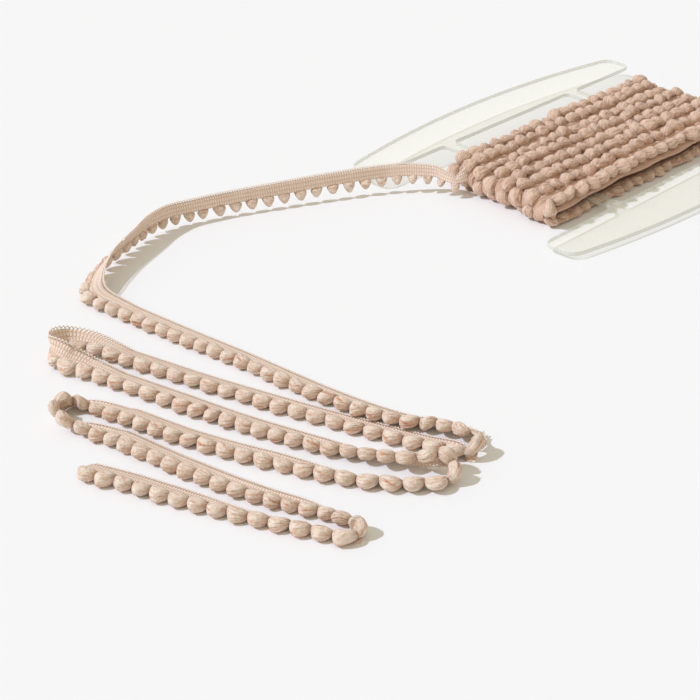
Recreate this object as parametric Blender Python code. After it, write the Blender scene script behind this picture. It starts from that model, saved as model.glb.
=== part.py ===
"""Pompom fringe trim, part of it wound on a flat winding card and part paid out in loose runs.

Three sub-parts: the winding card, the wound turns round its web, and the loose trim, a narrow
knitted tape with a row of pompoms along one edge. All sizes are in millimetres until a mesh is
made. +Z is up, the floor is z = 0, and the origin is under the middle of the whole layout.
"""

import bisect
import math
from collections import namedtuple

import bmesh
import bpy
from mathutils import Vector

MM = 0.001

# Middle of the layout's box, in the coordinates of the card's centre and the route below.
LAYOUT_CENTRE = Vector((-5.0, 0.26, 0.0))

# Trim
POMPOM_PITCH = 7.0
POMPOM_DROP = 5.3
POMPOM_LENGTH = 5.2
POMPOM_DEPTH = 5.0
POMPOM_ROOT = 3.4
POMPOM_LEAST = 0.45
TAPE_WIDTH = 5.7
TAPE_THICKNESS = 1.2
TAPE_LEAD = 5.4

# Winding card
CARD_CENTRE = (51.3, 87.2)
CARD_TURN = 41.8
CARD_TILT = 2.5
CARD_HEIGHT = 5.2
CARD_THICKNESS = 2.0
FLANGE_HALF_LENGTH = 90.0
FLANGE_INNER = 47.0
FLANGE_OUTER = 62.0
FLANGE_BOW = 10.0
FLANGE_STEPS = 8
WEB_HALF_LENGTH = 57.0
WEB_HALF_WIDTH = 28.0
RIB_NEAR = 40.0
RIB_FAR = 46.0

# Wound turns
WEB_CLEARANCE = 0.4
WEB_END_CLEARANCE = 1.5
TURN_TOP_STEPS = 38
TURN_END_STEPS = 4
TURN_UNDER_STEPS = 8
POMPOM_RISE = 1.9
PINCH_RISE = 0.6
TAPE_RISE = -0.3
UNDER_SQUASH = 0.4

# A ring of a pompom: how far it lies from the tape, and its shares of the length and depth.
Ring = namedtuple("Ring", "drop length depth")
POMPOM_RINGS = (
    Ring(1.4, 0.92, 0.78),
    Ring(3.6, 1.0, 1.0),
    Ring(POMPOM_DROP, 0.42, 0.40),
)

# A station of the loose trim: where the pompom edge of the tape runs, how the trim is rolled
# about its run (0 has the pompoms on the right of travel, 90 under the tape, 180 on the left and
# -90 above it), how far it is lifted off the floor, and the share of its width that the tape
# keeps where it curls over on itself.
Station = namedtuple("Station", "section x y roll lift width")
ROUTE = (
    Station("off the card", -7.6, 51.3, 101, 1.4, 1.0),
    Station("off the card", -13.0, 50.8, 100, 2.0, 1.0),
    Station("off the card", -17.5, 51.3, 95, 3.4, 1.0),
    Station("far run", -22.1, 51.5, 92, 4.0, 1.0),
    Station("far run", -33.9, 53.3, 90, 4.1, 1.0),
    Station("far run", -47.1, 53.0, 90, 3.9, 1.0),
    Station("far run", -68.1, 50.9, 90, 3.0, 1.0),
    Station("far run", -89.0, 48.5, 90, 1.5, 1.0),
    Station("far run", -109.3, 45.0, 90, 0.4, 1.0),
    Station("far run", -122.6, 40.6, 90, 0.0, 1.0),
    Station("far run", -133.5, 33.8, 90, 0.0, 1.0),
    Station("far run", -141.6, 22.5, 88, 0.0, 1.0),
    Station("far run", -148.2, 11.0, 82, 0.0, 1.0),
    Station("open bend", -155.0, -1.5, 66, 0.0, 1.0),
    Station("open bend", -160.0, -14.0, 42, 0.0, 1.0),
    Station("open bend", -159.0, -26.0, 18, 0.0, 1.0),
    Station("run 1", -144.7, -40.4, 4, 0.0, 1.0),
    Station("run 1", -124.2, -59.8, 1, 0.0, 1.0),
    Station("run 1", -98.9, -83.2, -2, 0.0, 1.0),
    Station("run 1", -74.7, -106.9, -6, 0.0, 1.0),
    Station("run 1", -59.3, -120.3, -9, 0.5, 1.0),
    Station("run 1", -45.5, -130.0, -12, 1.1, 1.0),
    Station("hairpin 1", -39.6, -132.8, -14, 1.4, 1.0),
    Station("hairpin 1", -34.1, -135.4, -18, 1.7, 1.0),
    Station("hairpin 1", -29.3, -138.1, -20, 2.3, 0.9),
    Station("hairpin 1", -25.0, -141.2, 5, 2.8, 0.6),
    Station("hairpin 1", -23.6, -145.6, 80, 0.8, 0.5),
    Station("hairpin 1", -26.4, -148.6, 100, 0.1, 0.35),
    Station("hairpin 1", -30.6, -148.2, 165, 0.0, 0.5),
    Station("run 2", -36.7, -145.3, 188, 0.0, 0.7),
    Station("run 2", -44.0, -141.2, 191, 0.0, 0.66),
    Station("run 2", -68.1, -126.1, 189, 0.0, 0.72),
    Station("run 2", -92.1, -110.0, 186, 0.0, 1.0),
    Station("run 2", -116.4, -93.0, 183, 0.0, 1.0),
    Station("run 2", -141.7, -74.6, 180, 0.0, 1.0),
    Station("left fold 1", -156.0, -66.0, 152, 0.0, 1.0),
    Station("left fold 1", -164.2, -66.7, 120, 0.0, 1.0),
    Station("left fold 1", -167.2, -72.5, 90, 0.0, 1.0),
    Station("left fold 1", -162.8, -78.3, 50, 0.0, 1.0),
    Station("left fold 1", -155.0, -82.0, 15, 0.0, 1.0),
    Station("run 3", -143.4, -90.1, 0, 0.0, 1.0),
    Station("run 3", -120.8, -107.5, 0, 0.0, 1.0),
    Station("run 3", -98.1, -124.1, -4, 0.0, 1.0),
    Station("run 3", -75.3, -139.3, -10, 0.2, 1.0),
    Station("run 3", -58.8, -147.3, -12, 0.5, 0.9),
    Station("run 3", -46.5, -150.4, -14, 0.7, 0.55),
    Station("hairpin 2", -41.7, -152.3, -25, 0.9, 0.5),
    Station("hairpin 2", -37.9, -154.5, -50, 1.2, 0.5),
    Station("hairpin 2", -35.3, -157.8, -75, 0.9, 0.4),
    Station("hairpin 2", -34.2, -162.7, -100, 0.6, 0.4),
    Station("hairpin 2", -36.6, -165.8, -150, 0.2, 0.7),
    Station("run 4", -43.0, -164.6, -169, 0.0, 1.0),
    Station("run 4", -63.6, -159.4, -169, 0.0, 1.0),
    Station("run 4", -89.4, -146.5, -172, 0.0, 1.0),
    Station("run 4", -114.5, -131.4, -176, 0.0, 1.0),
    Station("run 4", -137.6, -114.7, -180, 0.0, 1.0),
    Station("left fold 2", -151.0, -106.0, -160, 0.0, 1.0),
    Station("left fold 2", -158.6, -106.7, -120, 0.0, 0.8),
    Station("left fold 2", -160.9, -112.0, -90, 0.0, 0.7),
    Station("left fold 2", -157.1, -117.4, -50, 0.0, 0.8),
    Station("left fold 2", -150.5, -120.5, -20, 0.0, 1.0),
    Station("run 5", -139.4, -127.9, 0, 0.0, 1.0),
    Station("run 5", -118.6, -145.4, -4, 0.0, 1.0),
    Station("run 5", -97.5, -161.9, -9, 0.0, 1.0),
    Station("run 5", -80.5, -171.8, -12, 0.0, 1.0),
    Station("run 5", -74.4, -174.9, -13, 0.1, 1.0),
    Station("hairpin 3", -69.5, -177.8, -18, 0.1, 1.0),
    Station("hairpin 3", -65.2, -182.5, -45, 0.0, 0.7),
    Station("hairpin 3", -63.0, -186.8, -85, 0.2, 0.45),
    Station("hairpin 3", -64.3, -189.2, -120, 0.1, 0.5),
    Station("hairpin 3", -67.2, -188.6, -160, 0.0, 0.7),
    Station("run 6", -72.5, -186.0, -168, 0.0, 0.65),
    Station("run 6", -96.9, -174.5, -171, 0.0, 0.7),
    Station("run 6", -120.3, -161.7, -174, 0.0, 1.0),
    Station("cut end", -133.5, -153.6, -176, 0.0, 1.0),
    Station("cut end", -152.5, -143.0, -176, 0.0, 1.0),
)
ROUTE_STEPS = 24

# A wound turn: its middle across the card, the height of its top and how far its near end reaches.
Turn = namedtuple("Turn", "across top reach")
TURNS = (
    Turn(-23.9, 10.4, 64.0),
    Turn(-15.6, 11.2, 68.0),
    Turn(-7.4, 10.8, 70.0),
    Turn(0.9, 11.6, 70.0),
    Turn(9.1, 11.0, 71.0),
    Turn(17.4, 11.4, 72.0),
    Turn(25.6, 10.8, 74.0),
    Turn(33.9, 11.2, 75.0),
)
TURN_HALF_WIDTH = 4.1
TURN_FAR_REACH = 139.0


def clear_scene():
    """Remove whatever the file opened with."""
    for old in list(bpy.data.objects):
        bpy.data.objects.remove(old, do_unlink=True)


def make_material(name, colour, roughness, alpha=1.0):
    """A plain Principled finish."""
    material = bpy.data.materials.new(name)
    material.use_nodes = True
    shader = material.node_tree.nodes["Principled BSDF"]
    shader.inputs["Base Color"].default_value = (*colour, 1.0)
    shader.inputs["Roughness"].default_value = roughness
    shader.inputs["Metallic"].default_value = 0.0
    shader.inputs["Alpha"].default_value = alpha
    return material


def make_object(name, points, faces, material):
    """One closed mesh object from points in millimetres, its faces turned outwards."""
    mesh = bpy.data.meshes.new(name)
    mesh.from_pydata([(point - LAYOUT_CENTRE) * MM for point in points], [], faces)
    work = bmesh.new()
    work.from_mesh(mesh)
    bmesh.ops.recalc_face_normals(work, faces=work.faces)
    if work.calc_volume(signed=True) < 0:
        bmesh.ops.reverse_faces(work, faces=work.faces)
    work.to_mesh(mesh)
    work.free()
    mesh.materials.append(material)
    made = bpy.data.objects.new(name, mesh)
    bpy.context.scene.collection.objects.link(made)
    return made


def lerp(low, high, share):
    """The value that lies this share of the way from low to high."""
    return low + (high - low) * share


# ---------------------------------------------------------------- loose trim


def floor_height(roll, width):
    """Height of the pompom edge that just rests the trim on the floor at this roll."""
    sine = math.sin(math.radians(roll))
    cosine = abs(math.cos(math.radians(roll)))
    corners = [(ring.drop, POMPOM_DEPTH / 2 * ring.depth) for ring in POMPOM_RINGS]
    corners += [(0.0, TAPE_THICKNESS / 2), (-TAPE_WIDTH * width, TAPE_THICKNESS / 2)]
    return max(across * sine + depth * cosine for across, depth in corners)


def spline(before, start, end, after, share):
    """Catmull-Rom value between start and end."""
    square = share * share
    cube = square * share
    return 0.5 * (
        2 * start
        + (end - before) * share
        + (2 * before - 5 * start + 4 * end - after) * square
        + (3 * start - before - 3 * end + after) * cube
    )


def route_points():
    """The pompom edge as a fine line of (place, roll, width), smooth through every station."""
    rows = [ROUTE[0], *ROUTE, ROUTE[-1]]
    fine = []
    for before, start, end, after in zip(rows, rows[1:], rows[2:], rows[3:]):
        for step in range(ROUTE_STEPS):
            share = step / ROUTE_STEPS
            x = spline(before.x, start.x, end.x, after.x, share)
            y = spline(before.y, start.y, end.y, after.y, share)
            roll = lerp(start.roll, end.roll, share)
            width = lerp(start.width, end.width, share)
            height = floor_height(roll, width) + lerp(start.lift, end.lift, share)
            fine.append((Vector((x, y, height)), roll, width))
    return fine


class Route:
    """The loose trim's line by its length, with the trim's own axes at any place on it."""

    def __init__(self):
        self.fine = route_points()
        self.lengths = [0.0]
        for here, there in zip(self.fine, self.fine[1:]):
            self.lengths.append(self.lengths[-1] + (there[0] - here[0]).length)
        self.length = self.lengths[-1]

    def at(self, length):
        """Place, roll and width at this length along the line."""
        length = min(max(length, 0.0), self.length)
        high = min(bisect.bisect_right(self.lengths, length), len(self.lengths) - 1)
        low = high - 1
        share = (length - self.lengths[low]) / (self.lengths[high] - self.lengths[low])
        here, roll_here, width_here = self.fine[low]
        there, roll_there, width_there = self.fine[high]
        return (
            here.lerp(there, share),
            lerp(roll_here, roll_there, share),
            lerp(width_here, width_there, share),
        )

    def axes(self, length):
        """Place, direction of travel, direction from tape to pompoms, face normal and width."""
        place, roll, width = self.at(length)
        ahead = self.at(length + 1.2)[0] - self.at(length - 1.2)[0]
        travel = Vector((ahead.x, ahead.y, 0.0)).normalized()
        right = travel.cross(Vector((0.0, 0.0, 1.0)))
        angle = math.radians(roll)
        across = right * math.cos(angle) - Vector((0.0, 0.0, 1.0)) * math.sin(angle)
        return place, travel, across, travel.cross(across), width

    def off_edge(self, length, drop):
        """The place this far from the tape's pompom edge, at this length along the line."""
        place, _, across, _, _ = self.axes(length)
        return place + across * drop


def build_loose_trim(material):
    """The tape as one strip, with each pompom drawn out of its edge in square rings."""
    route = Route()
    count = int((route.length - TAPE_LEAD) // POMPOM_PITCH)
    points = []
    faces = []
    half = TAPE_THICKNESS / 2

    def add_station(length):
        place, _, across, normal, width = route.axes(length)
        edge = place - across * (TAPE_WIDTH * width)
        first = len(points)
        points.extend((edge + normal * half, place + normal * half))
        points.extend((place - normal * half, edge - normal * half))
        return first

    def add_pompom(start, end, middle):
        place, travel, across, normal, _ = route.axes(middle)
        loop = [start + 1, end + 1, end + 2, start + 2]
        for ring in POMPOM_RINGS:
            centre = place + across * ring.drop
            half_length = POMPOM_LENGTH / 2 * ring.length
            after = route.off_edge(middle + half_length, ring.drop)
            before = route.off_edge(middle - half_length, ring.drop)
            room = (after - before).dot(travel) / 2
            along = travel * min(max(room, POMPOM_LEAST * half_length), half_length)
            deep = normal * (POMPOM_DEPTH / 2 * ring.depth)
            first = len(points)
            points.extend((centre - along + deep, centre + along + deep))
            points.extend((centre + along - deep, centre - along - deep))
            new = [first, first + 1, first + 2, first + 3]
            for k in range(4):
                faces.append((loop[k], loop[(k + 1) % 4], new[(k + 1) % 4], new[k]))
            loop = new
        faces.append(tuple(loop))

    margin = (POMPOM_PITCH - POMPOM_ROOT) / 2
    before = add_station(0.0)
    faces.append((before, before + 1, before + 2, before + 3))
    for number in range(count):
        cell = TAPE_LEAD + number * POMPOM_PITCH
        start = add_station(cell + margin)
        end = add_station(cell + margin + POMPOM_ROOT)
        for k in range(4):
            nxt = (k + 1) % 4
            faces.append((before + k, before + nxt, start + nxt, start + k))
        for k in (0, 2, 3):
            nxt = (k + 1) % 4
            faces.append((start + k, start + nxt, end + nxt, end + k))
        add_pompom(start, end, cell + POMPOM_PITCH / 2)
        before = end
    faces.append((before, before + 1, before + 2, before + 3))
    return make_object("loose_trim", points, faces, material)


# -------------------------------------------------------------- winding card


def card_point(along, across, rise):
    """A place on the card: along its flanges, across them, and above its middle plane."""
    turn = math.radians(CARD_TURN)
    tilt = math.radians(CARD_TILT)
    flat = across * math.cos(tilt) + rise * math.sin(tilt)
    x = CARD_CENTRE[0] + along * math.cos(turn) + flat * math.sin(turn)
    y = CARD_CENTRE[1] + along * math.sin(turn) - flat * math.cos(turn)
    z = CARD_HEIGHT - across * math.sin(tilt) + rise * math.cos(tilt)
    return Vector((x, y, z))


def flange_edge(along):
    """Distance of the flange's bowed outer edge from the middle, by place along it."""
    share = along / FLANGE_HALF_LENGTH
    return FLANGE_OUTER + FLANGE_BOW * (1 - share * share)


def build_card(material):
    """An H of two bowed flanges, two pairs of ribs and a web, with an open window each side."""
    cells = []
    stops = [-FLANGE_HALF_LENGTH, -RIB_FAR, -RIB_NEAR, 0.0, RIB_NEAR, RIB_FAR, FLANGE_HALF_LENGTH]
    marks = set(stops)
    for step in range(FLANGE_STEPS + 1):
        marks.add(lerp(-FLANGE_HALF_LENGTH, FLANGE_HALF_LENGTH, step / FLANGE_STEPS))
    marks = sorted(mark for mark in marks if mark in stops or abs(abs(mark) - RIB_NEAR) > 8)
    for side in (-1, 1):
        for low, high in zip(marks, marks[1:]):
            cells.append(
                (
                    (low, side * FLANGE_INNER),
                    (high, side * FLANGE_INNER),
                    (high, side * flange_edge(high)),
                    (low, side * flange_edge(low)),
                )
            )
        for low, high in ((-RIB_FAR, -RIB_NEAR), (RIB_NEAR, RIB_FAR)):
            cells.append(
                (
                    (low, side * WEB_HALF_WIDTH),
                    (high, side * WEB_HALF_WIDTH),
                    (high, side * FLANGE_INNER),
                    (low, side * FLANGE_INNER),
                )
            )
    web = [-WEB_HALF_LENGTH, -RIB_FAR, -RIB_NEAR, 0.0, RIB_NEAR, RIB_FAR, WEB_HALF_LENGTH]
    for low, high in zip(web, web[1:]):
        cells.append(
            (
                (low, -WEB_HALF_WIDTH),
                (high, -WEB_HALF_WIDTH),
                (high, WEB_HALF_WIDTH),
                (low, WEB_HALF_WIDTH),
            )
        )
    return plate_from_cells("winding_card", cells, CARD_THICKNESS, material)


def plate_from_cells(name, cells, thickness, material):
    """A plate of this thickness from flat four-sided cells that share their corners."""
    corners = {}
    uses = {}
    flat = []
    for cell in cells:
        ring = [corners.setdefault(corner, len(corners)) for corner in cell]
        flat.append(ring)
        for start, end in zip(ring, ring[1:] + ring[:1]):
            key = (min(start, end), max(start, end))
            uses[key] = uses.get(key, 0) + 1
    total = len(corners)
    points = [card_point(along, across, thickness / 2) for along, across in corners]
    points += [card_point(along, across, -thickness / 2) for along, across in corners]
    faces = [tuple(ring) for ring in flat]
    faces += [tuple(corner + total for corner in reversed(ring)) for ring in flat]
    for (start, end), count in uses.items():
        if count == 1:
            faces.append((start, end, end + total, start + total))
    return make_object(name, points, faces, material)


# ---------------------------------------------------------------- wound turns


def turn_loop():
    """Stations round a turn: which stretch it is on and the share along that stretch."""
    stretches = (
        ("top", TURN_TOP_STEPS),
        ("far", TURN_END_STEPS),
        ("under", TURN_UNDER_STEPS),
        ("near", TURN_END_STEPS),
    )
    return [(name, step / steps) for name, steps in stretches for step in range(steps)]


def loop_place(stretch, share, near, far, low, high):
    """Place and outward direction on a flat-sided loop with round ends."""
    radius = (high - low) / 2
    middle = (high + low) / 2
    if stretch == "top":
        return lerp(-near + radius, far - radius, share), high, 0.0, 1.0
    if stretch == "under":
        return lerp(far - radius, -near + radius, share), low, 0.0, -1.0
    angle = math.pi / 2 - math.pi * share
    if stretch == "far":
        out, up = math.cos(angle), math.sin(angle)
        return far - radius + radius * out, middle + radius * up, out, up
    out, up = -math.cos(angle), -math.sin(angle)
    return -near + radius + radius * out, middle + radius * up, out, up


def turn_lines():
    """The lines that run round the bundle: each turn's tape, then both sides of its pompoms."""
    lines = []
    for turn in TURNS:
        lines.append((turn, turn.across - TURN_HALF_WIDTH, False))
        lines.append((turn, turn.across - TURN_HALF_WIDTH * 0.25, True))
        lines.append((turn, turn.across + TURN_HALF_WIDTH * 0.65, True))
    lines.append((TURNS[-1], TURNS[-1].across + TURN_HALF_WIDTH, False))
    return lines


def build_wound_trim(material):
    """A closed ring of side-by-side turns, with a slot through it for the card's web."""
    loop = turn_loop()
    lines = turn_lines()
    slot = CARD_THICKNESS / 2 + WEB_CLEARANCE
    points = []
    for turn, across, pompoms in lines:
        for number, (stretch, share) in enumerate(loop):
            rise = (POMPOM_RISE if number % 2 else PINCH_RISE) if pompoms else TAPE_RISE
            far = TURN_FAR_REACH - turn.reach
            along, height, out, up = loop_place(stretch, share, turn.reach, far, 0.0, turn.top)
            if stretch == "under":
                height = 0.0 if pompoms else UNDER_SQUASH * (POMPOM_RISE - TAPE_RISE)
            else:
                along += out * (rise - POMPOM_RISE)
                height += up * (rise if up > 0 else 0.0)
            base = card_point(along, across, 0.0)
            points.append(Vector((base.x, base.y, max(height, 0.0))))
    outer = len(lines)
    reach = WEB_HALF_LENGTH + WEB_END_CLEARANCE
    for across in (lines[0][1], lines[-1][1]):
        for stretch, share in loop:
            along, rise, _, _ = loop_place(stretch, share, reach, reach, -slot, slot)
            points.append(card_point(along, across, rise))
    ring = len(loop)
    faces = []
    order = [*range(outer), outer + 1, outer]
    for here, there in zip(order, order[1:] + order[:1]):
        for k in range(ring):
            nxt = (k + 1) % ring
            faces.append(
                (here * ring + k, here * ring + nxt, there * ring + nxt, there * ring + k)
            )
    return make_object("wound_trim", points, faces, material)


def main():
    """Build the three sub-parts."""
    clear_scene()
    yarn = make_material("dusty_beige_yarn", (0.66, 0.49, 0.39), 0.92)
    plastic = make_material("cream_clear_plastic", (0.90, 0.88, 0.79), 0.35, 0.7)
    build_card(plastic)
    build_wound_trim(yarn)
    build_loose_trim(yarn)


main()
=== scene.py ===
"""Looks of the pompom fringe trim: knitted tape, yarn pompoms, wound turns and the clear card.

Sizes are in millimetres in the layout's own coordinates, as in the part, and become metres when a
mesh is made. The trim's surfaces are worked out with numpy as grids of two parameters, the card is
filled in between closed lines, and each class builds one sub-assembly and dresses it.
"""

import logging
import math
from collections.abc import Callable
from dataclasses import dataclass, field
from enum import Enum
from typing import Any, ClassVar, NamedTuple

import bmesh
import bpy
import numpy as np
from mathutils import Euler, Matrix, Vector


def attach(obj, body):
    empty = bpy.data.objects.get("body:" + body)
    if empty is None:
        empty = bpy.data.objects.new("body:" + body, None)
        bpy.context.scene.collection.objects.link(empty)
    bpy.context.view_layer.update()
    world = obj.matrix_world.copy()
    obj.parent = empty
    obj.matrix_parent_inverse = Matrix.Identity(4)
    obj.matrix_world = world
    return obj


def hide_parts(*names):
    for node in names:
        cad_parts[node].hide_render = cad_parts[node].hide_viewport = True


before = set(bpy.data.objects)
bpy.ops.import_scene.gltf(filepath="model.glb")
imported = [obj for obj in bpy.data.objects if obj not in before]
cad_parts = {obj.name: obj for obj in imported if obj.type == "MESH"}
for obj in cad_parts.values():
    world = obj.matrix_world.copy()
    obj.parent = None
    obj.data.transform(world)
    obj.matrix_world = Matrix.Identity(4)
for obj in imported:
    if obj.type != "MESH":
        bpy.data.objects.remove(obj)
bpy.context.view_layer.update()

LOG = logging.getLogger("pompom_trim")
MM = 0.001
Array = np.ndarray
Colour = tuple[float, float, float, float]

# Middle of the layout, as in the part.
LAYOUT_CENTRE = np.array([-5.0, 0.26, 0.0])

POMPOM_PITCH = 7.0
TAPE_WIDTH = 5.7
COURSE = 1.05
# Least height of the trim's skin over the floor.
FLOOR_CLEAR = 0.02
# Greatest distance between points that are merged, in metres.
WELD = 0.00001
# Least length that a vector is divided by.
TINY = 1e-9
# How fast a face counts as looking up or down in full, as it turns from upright.
STEEP = 2.5
# Points of a rounded corner.
CORNER_POINTS = 7


class Station(NamedTuple):
    """A place on the loose trim's line.

    Attributes:
        section: stretch of the run that the place belongs to.
        x: place of the tape's pompom edge, across the layout.
        y: its place into the layout.
        roll: turn about the run, 0 with the pompoms on the right of travel, 90 under the tape.
        lift: height over lying on the floor.
        width: share of the tape's width left where it curls.
    """

    section: str
    x: float
    y: float
    roll: float
    lift: float
    width: float


ROUTE = (
    Station("off the card", -7.6, 51.3, 101, 1.4, 1.0),
    Station("off the card", -13.0, 50.0, 100, 0.9, 0.5),
    Station("off the card", -17.2, 51.9, 97, 1.8, 0.7),
    Station("far run", -21.8, 56.1, 93, 2.5, 0.85),
    Station("far run", -33.5, 59.1, 92, 2.5, 0.95),
    Station("far run", -46.9, 59.4, 90, 2.0, 1.0),
    Station("far run", -68.1, 56.0, 90, 1.4, 1.0),
    Station("far run", -89.0, 51.5, 90, 0.7, 1.0),
    Station("far run", -109.3, 46.5, 90, 0.2, 1.0),
    Station("far run", -122.6, 41.9, 90, 0.0, 1.0),
    Station("far run", -133.6, 37.2, 88, 0.0, 1.0),
    Station("far run", -141.9, 28.8, 78, 0.0, 1.0),
    Station("far run", -147.7, 18.1, 68, 0.0, 1.0),
    Station("open bend", -155.7, 1.6, 58, 0.0, 1.0),
    Station("open bend", -160.0, -14.0, 42, 0.0, 1.0),
    Station("open bend", -159.0, -26.0, 18, 0.0, 1.0),
    Station("run 1", -144.7, -40.4, 4, 0.0, 0.96),
    Station("run 1", -124.2, -59.8, 1, 0.0, 0.96),
    Station("run 1", -98.9, -83.2, -2, 0.0, 0.96),
    Station("run 1", -74.7, -106.9, -6, 0.0, 0.96),
    Station("run 1", -59.3, -120.3, -9, 0.5, 0.96),
    Station("run 1", -45.5, -130.0, -12, 1.1, 0.96),
    Station("hairpin 1", -39.6, -131.9, -14, 0.8, 1.0),
    Station("hairpin 1", -34.1, -135.1, -20, 0.8, 0.95),
    Station("hairpin 1", -29.1, -137.9, -22, 0.9, 0.9),
    Station("hairpin 1", -27.2, -141.2, -10, 2.4, 0.86),
    Station("hairpin 1", -25.4, -145.0, -24, 2.5, 0.74),
    Station("hairpin 1", -24.0, -148.6, -60, 2.0, 0.5),
    Station("hairpin 1", -25.4, -150.7, -90, 2.7, 0.15),
    Station("hairpin 1", -28.5, -151.6, -130, 1.3, 0.25),
    Station("hairpin 1", -30.9, -149.6, -164, 0.7, 0.7),
    Station("run 2", -34.0, -146.5, 188, 0.0, 0.96),
    Station("run 2", -44.0, -141.2, 191, 0.0, 0.96),
    Station("run 2", -68.1, -126.1, 189, 0.0, 0.96),
    Station("run 2", -92.1, -110.0, 186, 0.0, 0.96),
    Station("run 2", -116.4, -93.0, 183, 0.0, 0.96),
    Station("run 2", -141.7, -74.6, 180, 0.0, 0.96),
    Station("left fold 1", -156.0, -66.0, 152, 0.0, 0.96),
    Station("left fold 1", -164.2, -66.7, 120, 0.0, 0.96),
    Station("left fold 1", -167.2, -72.5, 90, 0.0, 0.96),
    Station("left fold 1", -162.8, -78.3, 50, 0.0, 0.96),
    Station("left fold 1", -155.0, -82.0, 15, 0.0, 0.96),
    Station("run 3", -143.4, -90.1, 0, 0.0, 0.96),
    Station("run 3", -120.8, -107.5, 0, 0.0, 0.96),
    Station("run 3", -98.1, -124.1, -4, 0.0, 0.96),
    Station("run 3", -75.3, -139.3, -10, 0.3, 0.96),
    Station("run 3", -65.3, -144.8, -12, 1.0, 0.75),
    Station("run 3", -54.1, -150.7, -16, 2.3, 0.5),
    Station("run 3", -47.3, -154.0, -20, 3.1, 0.45),
    Station("hairpin 2", -41.7, -155.2, -28, 3.5, 0.42),
    Station("hairpin 2", -37.3, -155.3, -45, 3.8, 0.4),
    Station("hairpin 2", -34.8, -157.5, -70, 2.4, 0.38),
    Station("hairpin 2", -33.8, -160.4, -100, 0.6, 0.38),
    Station("hairpin 2", -35.3, -163.8, -140, 0.3, 0.42),
    Station("run 4", -38.6, -165.2, -165, 1.1, 0.45),
    Station("run 4", -45.6, -164.4, -169, 0.5, 0.45),
    Station("run 4", -62.7, -160.0, -170, 0.2, 0.5),
    Station("run 4", -89.4, -146.5, -172, 0.0, 0.96),
    Station("run 4", -114.5, -131.4, -176, 0.0, 0.96),
    Station("run 4", -137.6, -114.7, -180, 0.0, 0.96),
    Station("left fold 2", -151.0, -106.0, -160, 0.0, 0.96),
    Station("left fold 2", -158.6, -106.7, -120, 0.0, 0.77),
    Station("left fold 2", -160.9, -112.0, -90, 0.0, 0.7),
    Station("left fold 2", -157.1, -117.4, -50, 0.0, 0.77),
    Station("left fold 2", -150.5, -120.5, -20, 0.0, 0.96),
    Station("run 5", -139.4, -127.9, 0, 0.0, 0.96),
    Station("run 5", -118.6, -145.4, -4, 0.0, 0.96),
    Station("run 5", -97.5, -161.9, -9, 0.0, 0.96),
    Station("run 5", -80.5, -171.8, -12, 0.0, 0.77),
    Station("run 5", -74.4, -174.9, -13, 0.1, 0.6),
    Station("hairpin 3", -69.5, -177.8, -18, 0.1, 0.5),
    Station("hairpin 3", -65.2, -182.5, -45, 0.0, 0.3),
    Station("hairpin 3", -63.0, -186.8, -85, 0.2, 0.2),
    Station("hairpin 3", -64.3, -189.2, -120, 0.1, 0.25),
    Station("hairpin 3", -67.2, -188.6, -160, 0.0, 0.45),
    Station("run 6", -72.5, -186.0, -168, 0.0, 0.5),
    Station("run 6", -96.9, -174.5, -171, 0.0, 0.6),
    Station("run 6", -120.3, -161.7, -174, 0.0, 0.96),
    Station("cut end", -133.5, -153.6, -176, 0.0, 1.0),
    Station("cut end", -152.5, -143.0, -176, 0.0, 1.0),
)
# Steps of the curve from one station to the next.
ROUTE_STEPS = 24


class Stretch(NamedTuple):
    """Pompoms of one stretch of the loose trim, after the last one of the stretch before.

    Attributes:
        section: where the stretch lies.
        pompoms: how many there are.
        pitch: distance from each to the next; the trim is pulled long or bunched as it is laid.
        size: size of the last one as a share of the plain one, reached evenly.
    """

    section: str
    pompoms: int
    pitch: float
    size: float = 1.0


FIRST_POMPOM = 6.0
FIRST_SIZE = 0.5
STRETCHES = (
    Stretch("off the card", 5, 6.7, 0.66),
    Stretch("far run", 11, 7.1, 0.72),
    Stretch("open bend", 7, 6.1, 0.85),
    Stretch("left bend", 10, 7.2),
    Stretch("run 1", 16, 6.7),
    Stretch("into hairpin 1", 6, 6.2),
    Stretch("tip of hairpin 1", 1, 14.0),
    Stretch("out of hairpin 1", 2, 8.0),
    Stretch("run 2", 10, 7.1),
    Stretch("left fold", 20, 7.4),
    Stretch("run 3 and hairpin 2", 18, 6.5),
    Stretch("run 4", 11, 7.0),
    Stretch("run 5", 22, 6.6),
    Stretch("into hairpin 3", 5, 6.0),
    Stretch("tip of hairpin 3", 1, 7.8, 1.25),
    Stretch("out of hairpin 3", 1, 6.9),
    Stretch("run 6", 13, 6.8),
)


class Turn(NamedTuple):
    """A wound turn: its place across the card, the height of its top and its near reach."""

    across: float
    top: float
    reach: float


TURNS = (
    Turn(-24.6, 10.4, 64.0),
    Turn(-16.5, 11.2, 68.0),
    Turn(-7.4, 10.8, 70.0),
    Turn(0.9, 11.6, 70.0),
    Turn(9.1, 11.0, 71.0),
    Turn(17.4, 11.4, 72.0),
    Turn(25.6, 10.8, 74.0),
    Turn(33.9, 11.2, 75.0),
)
# Every turn's near and far reach together.
TURN_SPAN = 139.0


def store(owner: Any, name: str, values: Array) -> None:
    """Set one property of every item of a Blender collection from an array."""
    owner.foreach_set(name, values.astype(np.float32).ravel())


class Closing(Enum):
    """How a grid's ends along its rows are finished."""

    OPEN = "open"
    CAPPED = "capped"
    RING = "ring"


# ------------------------------------------------------------------ meshes


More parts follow.
